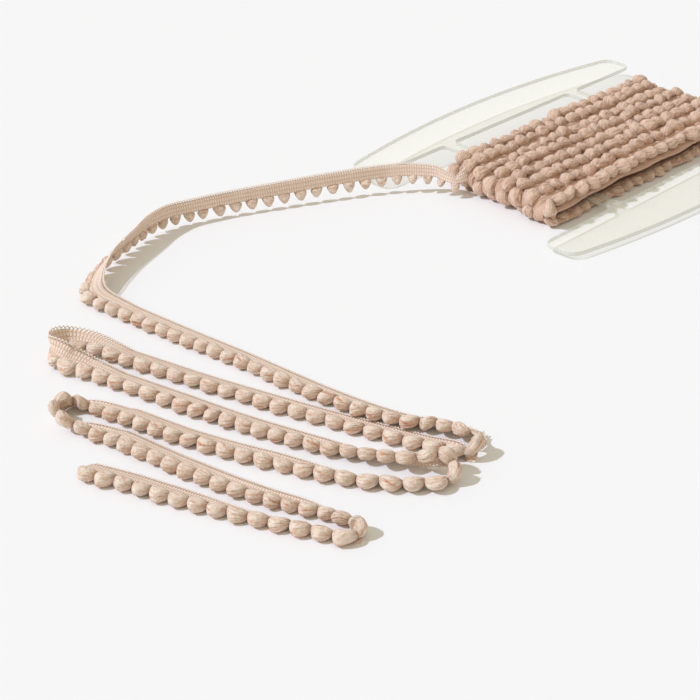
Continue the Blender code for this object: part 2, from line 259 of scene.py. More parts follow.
@dataclass
class Patch:
    """A grid surface, or many alike, ready to become one mesh.

    Attributes:
        points: vertices, copies by rows by columns by 3, in millimetres.
        closing: how the ends of the rows are finished.
        uv_scale: length of the pattern from a row to the next, and over a whole row.
        shade: painted shade of each vertex from 0 to 1, copies by rows by columns.
        seeds: number added to the pattern's first coordinate of each copy.
    """

    points: Array
    closing: Closing
    uv_scale: tuple[float, float] = (1.0, 1.0)
    shade: Array | None = None
    seeds: Array | None = None

    def faces(self) -> tuple[Array, Array, Array]:
        """Quads of the grid, columns closed into a tube.

        A quad joins the cell's four corners; a cap joins a ring's sides in pairs like a ladder.

        Returns:
            Vertex numbers, and the grid place along rows and along columns of each corner.
        """
        copies, rows, columns, _ = self.points.shape
        last = rows if self.closing is Closing.RING else rows - 1
        row, column = np.meshgrid(np.arange(last), np.arange(columns), indexing="ij")
        steps = np.array([[0, 0], [0, 1], [1, 1], [1, 0]])
        along = row.reshape(-1, 1) + steps[:, 0]
        around = column.reshape(-1, 1) + steps[:, 1]
        quads = (along % rows) * columns + around % columns
        if self.closing is Closing.CAPPED:
            rung = np.arange(columns // 2 - 1)
            ladder = np.stack([rung, columns - 1 - rung, columns - 2 - rung, rung + 1], 1)
            far = ladder[:, ::-1] + (rows - 1) * columns
            quads = np.concatenate([quads, ladder, far])
            along = np.concatenate([along, np.zeros_like(ladder), np.full_like(ladder, rows - 1)])
            around = np.concatenate([around, ladder, ladder[:, ::-1]])
        offset = np.arange(copies).reshape(-1, 1, 1) * rows * columns
        quads = (quads + offset).reshape(-1, 4)
        return quads, np.tile(along, (copies, 1)), np.tile(around, (copies, 1))

    def mesh(self, name: str) -> bpy.types.Mesh:
        """The patch as one smooth mesh with its pattern coordinates and its shade.

        Args:
            name: name of the mesh.

        Returns:
            The mesh, in metres, in the world's own place.
        """
        copies, rows, columns, _ = self.points.shape
        quads, along, around = self.faces()
        made = bpy.data.meshes.new(name)
        made.vertices.add(copies * rows * columns)
        store(made.vertices, "co", (self.points - LAYOUT_CENTRE) * MM)
        made.loops.add(quads.size)
        made.loops.foreach_set("vertex_index", quads.astype(np.int32).ravel())
        made.polygons.add(len(quads))
        made.polygons.foreach_set("loop_start", np.arange(0, quads.size, 4, dtype=np.int32))
        made.update(calc_edges=True)
        seeds = np.zeros(copies) if self.seeds is None else self.seeds
        each = len(quads) // copies
        u = around / columns * self.uv_scale[1] + np.repeat(seeds, each).reshape(-1, 1)
        v = along * self.uv_scale[0]
        layer = made.uv_layers.new(name="pattern")
        store(layer.data, "uv", np.stack([u, v], -1))
        if self.shade is not None:
            store(made.attributes.new("shade", "FLOAT", "POINT").data, "value", self.shade)
        made.shade_smooth()
        made.validate()
        return made


def linked(name: str, data: Any) -> bpy.types.Object:
    """A new object.

    Args:
        name: its name.
        data: the mesh, curve, lamp or camera that it holds.

    Returns:
        The object, linked to the scene.
    """
    made = bpy.data.objects.new(name, data)
    bpy.context.scene.collection.objects.link(made)
    return made


def put_in_scene(name: str, mesh: bpy.types.Mesh, material: bpy.types.Material) -> bpy.types.Object:
    """One object at the origin that shows this mesh in this material.

    Args:
        name: the piece's name.
        mesh: its mesh.
        material: its finish.

    Returns:
        The object, linked to the scene.
    """
    mesh.materials.append(material)
    LOG.info("%s: %d faces", name, len(mesh.polygons))
    return linked(name, mesh)


# ------------------------------------------------------------------ shader maths


def operator(operation: str, swapped: bool = False) -> Callable[["Val", Any], "Val"]:
    """A Python operator that adds a Math node.

    Args:
        operation: the node's operation.
        swapped: whether the value comes second, as in an operator's reflected form.

    Returns:
        The operator.
    """

    def apply(value: "Val", other: Any) -> "Val":
        """The node's result for these two."""
        return value.combine(operation, *((other, value) if swapped else (value, other)))

    return apply


class Val:
    """A socket in Python arithmetic: each operator adds one Math node."""

    __add__ = operator("ADD")
    __radd__ = operator("ADD", swapped=True)
    __sub__ = operator("SUBTRACT")
    __rsub__ = operator("SUBTRACT", swapped=True)
    __mul__ = operator("MULTIPLY")
    __pow__ = operator("POWER")

    def __init__(self, graph: "Graph", socket: bpy.types.NodeSocket) -> None:
        self.graph = graph
        self.socket = socket

    def combine(self, operation: str, first: Any, second: Any) -> "Val":
        """The result of a Math node."""
        node = self.graph.node("ShaderNodeMath", {"operation": operation}, {0: first, 1: second})
        return Val(self.graph, node.outputs[0])

    def sine(self) -> "Val":
        """Sine of an angle in radians."""
        return self.combine("SINE", self, 0.0)

    def size(self) -> "Val":
        """Absolute value."""
        return self.combine("ABSOLUTE", self, 0.0)

    def held(self) -> "Val":
        """The value kept between 0 and 1."""
        return self.combine("MINIMUM", self.combine("MAXIMUM", self, 0.0), 1.0)


class Graph:
    """A material's nodes."""

    def __init__(self, name: str) -> None:
        self.material = bpy.data.materials.new(name)
        self.material.use_nodes = True
        self.tree = self.material.node_tree
        self.shader = self.tree.nodes["Principled BSDF"]

    def node(self, kind: str, settings: dict[str, Any], inputs: dict[Any, Any]) -> bpy.types.Node:
        """Any node.

        Args:
            kind: the node's type.
            settings: its own settings, which are set first.
            inputs: values or links of its sockets.

        Returns:
            The node.
        """
        made = self.tree.nodes.new(kind)
        for key, setting in settings.items():
            setattr(made, key, setting)
        for key, value in inputs.items():
            self.feed(made.inputs[key], value)
        return made

    def feed(self, socket: bpy.types.NodeSocket, value: Any) -> None:
        """Link a socket to another, or set it to a plain value.

        Args:
            socket: the socket that is fed.
            value: a value in arithmetic or a plain one.
        """
        if isinstance(value, Val):
            self.tree.links.new(value.socket, socket)
        else:
            socket.default_value = value

    def out(self, node: bpy.types.Node, name: Any = 0) -> Val:
        """An output of a node for use in arithmetic."""
        return Val(self, node.outputs[name])

    def pattern(self) -> tuple[Val, Val, Val]:
        """The mesh's pattern coordinates.

        Returns:
            The pair as a vector, and its first and second number.
        """
        uv = self.out(self.node("ShaderNodeUVMap", {"uv_map": "pattern"}, {}))
        parts = self.node("ShaderNodeSeparateXYZ", {}, {0: uv})
        return uv, self.out(parts, 0), self.out(parts, 1)

    def place(self) -> Val:
        """The surface's place on the object, in metres."""
        return self.out(self.node("ShaderNodeTexCoord", {}, {}), "Object")

    def shade(self) -> Val:
        """The darkness kept on the mesh."""
        node = self.node("ShaderNodeAttribute", {"attribute_name": "shade"}, {})
        return self.out(node, "Fac")

    def stretched(self, vector: Val, by: tuple[float, float, float]) -> Val:
        """A vector with each of its numbers multiplied."""
        node = self.node("ShaderNodeVectorMath", {"operation": "MULTIPLY"}, {0: vector, 1: by})
        return self.out(node)

    def noise(self, vector: Val, scale: float, detail: float) -> Val:
        """Noise from 0 to 1."""
        inputs = {"Vector": vector, "Scale": scale, "Detail": detail}
        return self.out(self.node("ShaderNodeTexNoise", {}, inputs), "Fac")

    def blend(self, share: Val, low: Colour, high: Colour) -> Val:
        """A colour between two colours."""
        node = self.node("ShaderNodeMix", {"data_type": "RGBA"}, {0: share, 6: low, 7: high})
        return self.out(node, 2)

    def bump(self, height: Val, distance: float, strength: float) -> Val:
        """A normal that follows this height, with distance in metres."""
        inputs = {"Height": height, "Distance": distance, "Strength": strength}
        return self.out(self.node("ShaderNodeBump", {}, inputs))

    def finish(self, **values: Any) -> bpy.types.Material:
        """Feed the shader's own sockets.

        Args:
            values: what goes into each socket, named in lower case.

        Returns:
            The material.
        """
        for key, value in values.items():
            self.feed(self.shader.inputs[key.replace("_", " ").title()], value)
        return self.material


@dataclass(frozen=True)
class YarnFinish:
    """Soft matt yarn in bundles of fine filaments.

    Attributes:
        light: colour of the filaments where no painted shade darkens them.
        dark: colour of the painted shade, deep between the filaments.
        strands: bundles of filaments round a pompom.
        lines: filaments round a pompom that the pattern shows.
        cloud: scale of the patches, as speck and fuzz are the specks' and the fibres'.
        relief: height of the strands, in metres.
    """

    light: Colour = (0.955, 0.80, 0.655, 1.0)
    dark: Colour = (0.65, 0.275, 0.13, 1.0)
    strands: float = 22.0
    lines: float = 60.0
    cloud: float = 260.0
    speck: float = 1100.0
    fuzz: float = 2600.0
    relief: float = 0.0006

    def dress(self, name: str) -> bpy.types.Material:
        """The material: streaks run along the filaments, and creases and ties are darker.

        Args:
            name: the material's name.

        Returns:
            The material.
        """
        graph = Graph(name)
        uv, _, _ = graph.pattern()
        streak = graph.noise(graph.stretched(uv, (self.lines, 0.34, 1.0)), 1.0, 3.0)
        strand = graph.noise(graph.stretched(uv, (self.strands, 0.42, 1.0)), 1.0, 1.0)
        cloud, speck, fuzz = (
            graph.noise(graph.place(), scale, 2.0) for scale in (self.cloud, self.speck, self.fuzz)
        )
        # Painted shade: the mesh's shade, and the low streaks, strands and specks where the bump
        # sinks, darken the yarn towards the dark colour; the cloud is random tone.
        dark = graph.shade() * 0.85 + (0.55 - streak) + (0.54 - strand) * 1.4
        dark = dark + (0.5 - cloud) * 0.3 + (0.5 - speck) * 0.9
        height = streak * 0.7 + strand * 1.3 + speck * 0.8 + fuzz * 0.3
        return graph.finish(
            base_color=graph.blend(dark.held(), self.light, self.dark),
            normal=graph.bump(height, self.relief, 1.0),
            roughness=0.9,
            sheen_weight=0.25,
            sheen_roughness=0.5,
        )


@dataclass(frozen=True)
class KnitFinish:
    """Narrow warp-knitted tape: lengthwise rows of small loops with cross courses.

    Attributes:
        light: colour of the loops.
        dark: colour of the painted shade between the loops.
        wales: rows of loops over the whole way round the tape.
        contrast: how dark the painted shade between the loops is.
        relief: height of the loops, in metres.
        cloud: scale of the patches, as fuzz is the loose fibres'.
    """

    light: Colour = (0.975, 0.80, 0.66, 1.0)
    dark: Colour = (0.53, 0.23, 0.12, 1.0)
    wales: float = 6.0
    contrast: float = 0.45
    relief: float = 0.0003
    cloud: float = 160.0
    fuzz: float = 2200.0

    def dress(self, name: str) -> bpy.types.Material:
        """The material: loops stand up between the wales' and the courses' grooves.

        A loop is the absolute sine of the place round the tape times that of the place along it.

        Args:
            name: the material's name.

        Returns:
            The material.
        """
        graph = Graph(name)
        _, around, along = graph.pattern()
        wale = (around * (math.pi * self.wales)).sine().size()
        course = (along * math.pi + wale * 0.9).sine().size()
        loops = (wale**0.6) * (course**0.7)
        fuzz = graph.noise(graph.place(), self.fuzz, 3.0)
        cloud = graph.noise(graph.place(), self.cloud, 2.0)
        # Painted shade: darker between the loops, where the bump sinks, where the mesh's shade
        # marks, and in the low fuzz; the cloud is random tone.
        dark = (1.0 - loops) * self.contrast + graph.shade() * 0.8
        dark = dark + (0.5 - cloud) * 0.3 + (0.5 - fuzz) * 0.3
        return graph.finish(
            base_color=graph.blend(dark.held(), self.light, self.dark),
            normal=graph.bump(loops + fuzz * 0.3, self.relief, 0.9),
            roughness=0.92,
            sheen_weight=0.2,
            sheen_roughness=0.5,
        )


@dataclass(frozen=True)
class PlasticFinish:
    """Cream translucent sheet plastic, darker along its cut edges.

    Attributes:
        face: colour of the plate's faces.
        edge: colour of its cut edges.
        cover: share of the light that each face stops.
        edge_cover: share of the light that a cut edge stops.
        cloud: scale of the faint patches, as grain is the surface grain's.
        relief: height of the grain, in metres.
    """

    face: Colour = (0.95, 0.92, 0.75, 1.0)
    edge: Colour = (0.66, 0.68, 0.61, 1.0)
    cover: float = 0.17
    edge_cover: float = 0.62
    cloud: float = 45.0
    grain: float = 1500.0
    relief: float = 0.00004

    def dress(self, name: str) -> bpy.types.Material:
        """The material: the shade kept on the mesh marks the cut edges.

        Args:
            name: the material's name.

        Returns:
            The material.
        """
        graph = Graph(name)
        edge = graph.shade()
        cloud = graph.noise(graph.place(), self.cloud, 2.0)
        grain = graph.noise(graph.place(), self.grain, 2.0)
        share = (edge + (0.5 - cloud) * 0.12).held()
        return graph.finish(
            base_color=graph.blend(share, self.face, self.edge),
            alpha=(self.cover + edge * (self.edge_cover - self.cover)).held(),
            normal=graph.bump(grain, self.relief, 0.4),
            roughness=0.34,
        )


@dataclass(frozen=True)
class FloorFinish:
    """Matt white seamless floor, with patches that are lighter by a small share."""

    colour: Colour = (0.90, 0.90, 0.895, 1.0)
    lighter: float = 1.01
    cloud: float = 4.0

    def dress(self, name: str) -> bpy.types.Material:
        """The material, with the faintest cloudiness.

        Args:
            name: the material's name.

        Returns:
            The material.
        """
        graph = Graph(name)
        cloud = graph.noise(graph.place(), self.cloud, 2.0)
        light = tuple(min(part * self.lighter, 1.0) for part in self.colour)
        return graph.finish(base_color=graph.blend(cloud, self.colour, light), roughness=0.95)


# ------------------------------------------------------------------ lines that trim follows


@dataclass
class Frames:
    """Places on a trim's line and the trim's own directions there.

    Attributes:
        place: the tape's pompom edge.
        travel: direction of the run.
        across: direction from the tape to the pompoms.
        normal: direction out of the tape's face.
        width: share of the tape's width left where it curls.
        depth: share of the pompoms' depth left where something presses them.
    """

    place: Array
    travel: Array
    across: Array
    normal: Array
    width: Array
    depth: Array

    def folded(self, shape: tuple[int, ...]) -> "Frames":
        """The same frames in another shape.

        Args:
            shape: shape of the lengths that they are for.

        Returns:
            The frames.
        """
        vectors = (self.place, self.travel, self.across, self.normal)
        rows = [vector.reshape(*shape, 3) for vector in vectors]
        return Frames(*rows, self.width.reshape(shape), self.depth.reshape(shape))

    def point(self, out: Array, rise: Array) -> Array:
        """Places this far out on the pompoms' side and this far off the tape's face."""
        aside = self.across[..., None, :] * out[..., None]
        return self.place[..., None, :] + aside + self.normal[..., None, :] * rise[..., None]

    def upward(self) -> Array:
        """How far the tape's face looks up, from -1 to 1."""
        return np.clip(STEEP * self.normal[..., 2:], -1.0, 1.0)


# What gives a line's frames at these lengths along it.
Follow = Callable[[Array], Frames]


def unit(vectors: Array) -> Array:
    """Each vector divided by its length."""
    return vectors / np.maximum(np.linalg.norm(vectors, axis=-1, keepdims=True), TINY)


def run_lengths(points: Array) -> Array:
    """Length along a line of straight steps, from its first point to each of them."""
    steps = np.linalg.norm(np.diff(points, axis=0), axis=1)
    return np.concatenate([[0.0], np.cumsum(steps)])


@dataclass
class LooseLine:
    """The loose trim's line.

    A Catmull-Rom curve through the stations gives x and y, roll, lift and width go straight from
    one station to the next, and the height is the lift over lying on the floor.

    Attributes:
        puff: how far out each corner of a pompom is and how deep, as a share of its depth.
        tape: the tape's thickness.
        stride: distance ahead and behind from which the direction is taken.
        fine: x, y, height, roll and width at each point of the fine line.
    """

    puff: tuple[tuple[float, float], ...] = ((1.4, 0.39), (3.6, 0.5), (5.3, 0.2))
    depth: float = 5.0
    tape: float = 1.2
    stride: float = 1.2
    lengths: Array = field(init=False)
    fine: Array = field(init=False)

    def __post_init__(self) -> None:
        """Work out the fine line and the length along it."""
        table = np.array([row[1:] for row in ROUTE], float)
        table[:, 2] = np.unwrap(table[:, 2], period=360.0)
        padded = np.concatenate([table[:1], table, table[-1:]])
        before, start, end, after = padded[:-3], padded[1:-2], padded[2:-1], padded[3:]
        share = (np.arange(ROUTE_STEPS) / ROUTE_STEPS).reshape(1, -1, 1)
        before, start, end, after = (rows[:, None, :] for rows in (before, start, end, after))
        curve = 0.5 * (
            2 * start
            + (end - before) * share
            + (2 * before - 5 * start + 4 * end - after) * share**2
            + (3 * start - before - 3 * end + after) * share**3
        )
        straight = start + (end - start) * share
        xy = curve[..., :2].reshape(-1, 2)
        roll, lift, width = straight[..., 2:].reshape(-1, 3).T
        place = np.column_stack([xy, self.floor_height(roll, width) + lift])
        self.lengths = run_lengths(place)
        self.fine = np.column_stack([place, roll, width])

    @property
    def length(self) -> float:
        """Whole length of the line."""
        return float(self.lengths[-1])

    def floor_height(self, roll: Array, width: Array) -> Array:
        """Height of the pompom edge at which the trim just rests on the floor.

        The greatest, over the section's corners, of how far a corner hangs below that edge.

        Args:
            roll: turn about the run, in degrees.
            width: share of the tape's width.

        Returns:
            The heights.
        """
        sine, cosine = np.sin(np.radians(roll)), np.abs(np.cos(np.radians(roll)))
        corners = [(out, self.depth * share) for out, share in self.puff]
        corners += [(0.0, self.tape / 2), (-TAPE_WIDTH * width, self.tape / 2)]
        return np.max([across * sine + deep * cosine for across, deep in corners], axis=0)

    def sample(self, lengths: Array) -> Frames:
        """Places and directions at these lengths, by straight steps along the fine line.

        Args:
            lengths: lengths along the line, in any shape.

        Returns:
            The frames, in the same shape.
        """
        flat = np.clip(lengths.ravel(), 0.0, self.length)
        here = self.at(flat)
        ahead = self.at(np.minimum(flat + self.stride, self.length))
        behind = self.at(np.maximum(flat - self.stride, 0.0))
        travel = unit(ahead[:, :3] - behind[:, :3])
        right = unit(np.column_stack([travel[:, 1], -travel[:, 0], np.zeros(len(travel))]))
        angle = np.radians(here[:, 3:4])
        across = right * np.cos(angle) - np.cross(right, travel) * np.sin(angle)
        normal = np.cross(travel, across)
        frames = Frames(here[:, :3], travel, across, normal, here[:, 4], np.ones(len(flat)))
        return frames.folded(lengths.shape)

    def at(self, lengths: Array) -> Array:
        """The fine line's numbers at these lengths."""
        return np.column_stack([np.interp(lengths, self.lengths, row) for row in self.fine.T])

    def middles(self) -> Array:
        """Length along the line of every pompom's middle."""
        _, counts, pitches, _ = zip(*STRETCHES)
        return FIRST_POMPOM + np.concatenate([[0.0], np.cumsum(np.repeat(pitches, counts))])

    def sizes(self) -> Array:
        """Size of every pompom as a share of the plain one, even between the stretches' ends.

        Returns:
            The sizes.
        """
        _, counts, _, sizes = zip(*STRETCHES)
        ends = np.cumsum((0, *counts))
        return np.interp(np.arange(ends[-1] + 1), ends, (FIRST_SIZE, *sizes))


@dataclass
class Card:
    """The winding card's middle, its direction seen from above, its lean, height and thickness."""

    centre: tuple[float, float] = (51.3, 87.2)
    turn: float = math.radians(41.8)
    tilt: float = math.radians(2.5)
    height: float = 5.2
    thickness: float = 2.0

    def axes(self) -> tuple[Array, Array]:
        """Directions along the card and across it, level with the floor."""
        along = np.array([math.cos(self.turn), math.sin(self.turn), 0.0])
        return along, np.array([along[1], -along[0], 0.0])

    def points(self, along: Array, across: Array, rise: Array) -> Array:
        """Places on the tilted card, its axes laid off from its middle.

        Args:
            along: distances along its side bars.
            across: distances across them.
            rise: distances over its middle plane.

        Returns:
            The places.
        """
        first, second = self.axes()
        flat = across * math.cos(self.tilt) + rise * math.sin(self.tilt)
        high = self.height - across * math.sin(self.tilt) + rise * math.cos(self.tilt)
        middle = np.array([*self.centre, 0.0])
        level = middle + along[..., None] * first + flat[..., None] * second
        return level + high[..., None] * np.array([0.0, 0.0, 1.0])


@dataclass
class TurnLine:
    """The line of one wound turn: over the card, round its far end, back under it and up again.

    The line is a flat-sided loop with half-round ends, in the upright plane along the card, and
    the trim wanders a little to each side of it and up and down on top.

    Attributes:
        seed: number that sets the turn's own wander.
        inset: distance from the turn's reach back to the tape.
        sunk: distance from the turn's top down to the tape.
        side: 1 with the pompoms towards the turn before, -1 towards the turn after.
        lean: turn of the top's pompoms up from level.
        sway: sizes of the slow and of the quick wander, and bob is the one up and down.
        pressed: share of the pompoms' depth that is lost underneath.
        loop: along, height, outward along and outward up at each point.
    """

    turn: Turn
    card: Card
    seed: int
    inset: float = 2.5
    sunk: float = 0.6
    floor_gap: float = 1.9
    side: float = 1.0
    lean: float = math.radians(20.0)
    shift: float = 1.0
    sway: tuple[float, float] = (0.6, 0.5)
    bob: float = 0.22
    pressed: float = 0.26
    steps: int = 60
    loop: Array = field(init=False)
    lengths: Array = field(init=False)

    def __post_init__(self) -> None:
        """Work out the loop: over the top, round the far end, underneath and up again."""
        near = self.turn.reach - self.inset
        far = TURN_SPAN - self.turn.reach - self.inset
        high, low = self.turn.top - self.sunk, self.floor_gap
        radius, middle = (high - low) / 2, (high + low) / 2
        share = np.linspace(0.0, 1.0, self.steps, endpoint=False)
        angle = math.pi / 2 - math.pi * share
        one, none = np.ones_like(share), np.zeros_like(share)
        cosine, sine = np.cos(angle), np.sin(angle)
        flat = near + far - 2 * radius
        top = [-near + radius + flat * share, high * one, none, one]
        end = [far - radius + radius * cosine, middle + radius * sine, cosine, sine]
        under = [far - radius - flat * share, low * one, none, -one]
        back = [-near + radius - radius * cosine, middle - radius * sine, -cosine, -sine]
        rows = np.concatenate([np.array(part) for part in (top, end, under, back)], axis=1).T
        self.loop = np.concatenate([rows, rows[:1]])
        self.lengths = run_lengths(self.loop[:, :2])

    @property
    def length(self) -> float:
        """Length once round."""
        return float(self.lengths[-1])

    def sample(self, lengths: Array) -> Frames:
        """Places and directions at these lengths, which run on round the loop.

        Args:
            lengths: lengths along the line, in any shape.

        Returns:
            The frames, in the same shape.
        """
        flat = np.mod(lengths.ravel(), self.length)
        along, height, out, up = (np.interp(flat, self.lengths, row) for row in self.loop.T)
        phase = 2 * math.pi * flat / self.length
        slow, quick = self.sway
        wander = slow * np.sin(3 * phase + self.seed) + quick * np.sin(11 * phase + 2.1 * self.seed)
        bob = self.bob * np.sin(5 * phase + 1.3 * self.seed) * np.maximum(up, 0.0)
        first, second = self.card.axes()
        upright = np.array([0.0, 0.0, 1.0])
        normal = unit(out[:, None] * first + up[:, None] * upright)
        travel = np.cross(normal, -second * self.side)
        place = np.array([*self.card.centre, 0.0]) + along[:, None] * first
        place = place + (self.turn.across + self.side * self.shift + wander)[:, None] * second
        place = place + (height + bob)[:, None] * upright
        lean = self.lean * np.clip(up, 0.0, 1.0)[:, None]
        across = -second * self.side * np.cos(lean) + normal * np.sin(lean)
        normal = normal * np.cos(lean) + second * self.side * np.sin(lean)
        depth = 1.0 - self.pressed * np.clip(-up, 0.0, 1.0)
        frames = Frames(place, travel, across, normal, np.ones(len(flat)), depth)
        return frames.folded(lengths.shape)


# ------------------------------------------------------------------ pompoms and tape


def oval(share: Array, full: float, blunt: float) -> Array:
    """An oval's half width at this share of its half length: (1 - share ** full) ** blunt."""
    return (1.0 - np.abs(share) ** full) ** blunt


@dataclass
class Pompoms:
    """Puffs of yarn, each tied to the tape's edge before and after it.

    A puff is a tube along the run: its radius is oval in length, its middle swings out from the
    ties to the belly, and lengthwise grooves of a few random waves and up to three creases are
    pressed into it.

    Attributes:
        reach: half its length.
        tie: distance of its ties from the tape's edge, as belly is its middle's.
        broad: half its width out from the tape, as deep is half its depth.
        taper: share by which its outer side is shorter.
        twist: turn of its strands over half its length, in radians.
        uneven: spread of the puffs' sizes.
        ENDS: how near the ties the first and the last ring lie, as a share.
        SWELL: powers of the oval that its width follows along it, as FULL is its depth's.
        SQUARE: what is added to the width's power on the outer and on the inner side.
        SPACINGS: least and greatest spacing that changes a puff, as shares of the plain one.
        SKEW: lean through the tape for each share of uneven, as SWING is the one out from it.
        WAVES: cycles round the puff and height of each wave.
        CREASES: chance of each crease.
        CREASE_WIDTH: half a crease's angle, as CREASE_LENGTH is half its length.
        CREASE_DEPTH: its depth as a share of the radius.
        ROUGH: spread of the skin's roughness.
        TIE_SHADE: painted shade at the ties, as INNER_SHADE is on the side against the tape,
            CREASE_SHADE in a crease and GROOVE_SHADE for each share of depth in a groove.
        FLOOR_SHADE: height over which the painted shade next to the floor fades.
    """

    rings: int
    sides: int
    reach: float = 3.8
    tie: float = 0.15
    belly: float = 2.15
    broad: float = 3.05
    deep: float = 2.15
    taper: float = 0.1
    twist: float = 0.55
    uneven: float = 0.05

    ENDS: ClassVar = 0.97
    SWELL: ClassVar = (2.0, 0.72)
    FULL: ClassVar = (2.6, 0.52)
    SQUARE: ClassVar = (0.05, -0.2)
    SPACINGS: ClassVar = (0.6, 1.3)
    SKEW: ClassVar = 1.8
    SWING: ClassVar = 1.2
    WAVES: ClassVar = ((3, 0.045), (5, 0.04), (8, 0.03), (13, 0.018))
    CREASES: ClassVar = (0.9, 0.6, 0.35)
    CREASE_WIDTH: ClassVar = 0.15
    CREASE_LENGTH: ClassVar = 0.7
    CREASE_DEPTH: ClassVar = 0.15
    ROUGH: ClassVar = 0.012
    TIE_SHADE: ClassVar = 0.6
    INNER_SHADE: ClassVar = 0.12
    CREASE_SHADE: ClassVar = 0.6
    GROOVE_SHADE: ClassVar = 3.0
    FLOOR_SHADE: ClassVar = 1.1

    def build(
        self,
        frames_at: Follow,
        middles: Array,
        rng: np.random.Generator,
        sizes: Array | float = 1.0,
        contact: float = 0.0,
    ) -> Patch:
        """All the puffs of one trim.

        Args:
            frames_at: function from lengths to Frames.
            middles: length along the line of each puff's middle.
            rng: seeded source of the small differences.
            sizes: size of each puff as a share of the plain one.
            contact: how much painted shade darkens the yarn next to the floor.

        Returns:
            The puffs as one patch.
        """
        count = len(middles)
        share = np.sin(np.linspace(-1.0, 1.0, self.rings) * math.pi / 2 * self.ENDS)
        around = np.arange(self.sides) / self.sides * 2 * math.pi
        swell, full = oval(share, *self.SWELL), oval(share, *self.FULL)
        square = np.where(np.cos(around) > 0, *self.SQUARE) * np.cos(around) ** 2
        size = 1.0 + self.uneven * rng.standard_normal((count, 1))
        spacing = np.clip(np.gradient(middles) / POMPOM_PITCH, *self.SPACINGS)[:, None]
        sizes = np.broadcast_to(sizes, count)[:, None]
        frames = frames_at(middles[:, None] + share * self.reach * spacing * np.minimum(sizes, 1.0))
        size *= np.where(spacing < 1.0, spacing**0.35, spacing**-0.5) * sizes**0.6
        skew = rng.normal(0.0, self.SKEW * self.uneven, (count, 1)) * share * self.reach
        swing = rng.normal(0.0, self.SWING * self.uneven, (count, 1)) * share * self.reach
        centre = self.tie + (self.belly - self.tie) * swell**0.9
        grooves, creases = self.relief(share, around, count, rng)
        relief = size[:, :, None] * (1.0 + grooves)
        out = centre[None, :, None] * size[:, :, None] + swing[:, :, None]
        out = out + swell[None, :, None] ** (1.0 + square) * relief * self.broad * np.cos(around)
        press = self.deep * np.sin(around) * frames.depth[..., None]
        rise = full[None, :, None] * relief * press + skew[:, :, None]
        narrowed = share[None, :, None] * self.taper * np.clip(out / self.broad - 0.5, 0.0, 1.5)
        back = frames.travel[:, :, None, :] * (narrowed * self.reach)[..., None]
        points = frames.point(out, rise) - back
        points[..., 2] = np.maximum(points[..., 2], FLOOR_CLEAR)
        # Painted shade: darker at the ties, on the side against the tape, in creases and grooves,
        # and next to the floor, where shade falls.
        at_tie = np.abs(share)[None, :, None] ** 9 * self.TIE_SHADE
        inner = np.clip(-np.cos(around), 0.0, 1.0) ** 2 * self.INNER_SHADE
        low = np.exp(-points[..., 2] / self.FLOOR_SHADE) * contact
        deep = np.clip(-grooves, 0.0, 1.0) * self.GROOVE_SHADE
        shade = np.clip(at_tie + inner + creases + low + deep, 0.0, 1.0)
        scale = (2.0 * self.reach / (self.rings - 1), 1.0)
        return Patch(points, Closing.CAPPED, scale, shade, rng.uniform(0.0, 40.0, count))

    def relief(
        self, share: Array, around: Array, count: int, rng: np.random.Generator
    ) -> tuple[Array, Array]:
        """Lengthwise waves and creases, fading towards the ties.

        Args:
            share: place of each ring, from -1 to 1 between the ties.
            around: angle of each side.
            count: how many puffs there are.
            rng: seeded source of the differences.

        Returns:
            The change of radius as a share of it, and the painted shade in the creases.
        """
        angle = around[None, None, :]
        run = share[None, :, None]
        waves = np.zeros((count, len(share), len(around)))
        for cycles, height in self.WAVES:
            phase = rng.uniform(0.0, 2 * math.pi, (count, 1, 1))
            drift = self.twist + rng.normal(0.0, 0.2, (count, 1, 1))
            waves += height * np.cos(cycles * (angle + drift * run) + phase)
        creases = np.zeros_like(waves)
        for chance in self.CREASES:
            middle = rng.uniform(0.0, 2 * math.pi, (count, 1, 1))
            drift = self.twist + rng.normal(0.0, 0.4, (count, 1, 1))
            start = rng.uniform(-0.3, 0.6, (count, 1, 1))
            real = (rng.random((count, 1, 1)) < chance) * rng.uniform(0.5, 1.0, (count, 1, 1))
            apart = np.angle(np.exp(1j * (angle - middle - drift * run)))
            fade = np.exp(-(((run - start) / self.CREASE_LENGTH) ** 2))
            creases += real * fade * np.exp(-((apart / self.CREASE_WIDTH) ** 2))
        rough = rng.normal(0.0, self.ROUGH, waves.shape)
        change = (waves - self.CREASE_DEPTH * creases + rough) * (1.0 - run**4)
        return change, np.clip(creases * self.CREASE_SHADE, 0.0, 1.0)


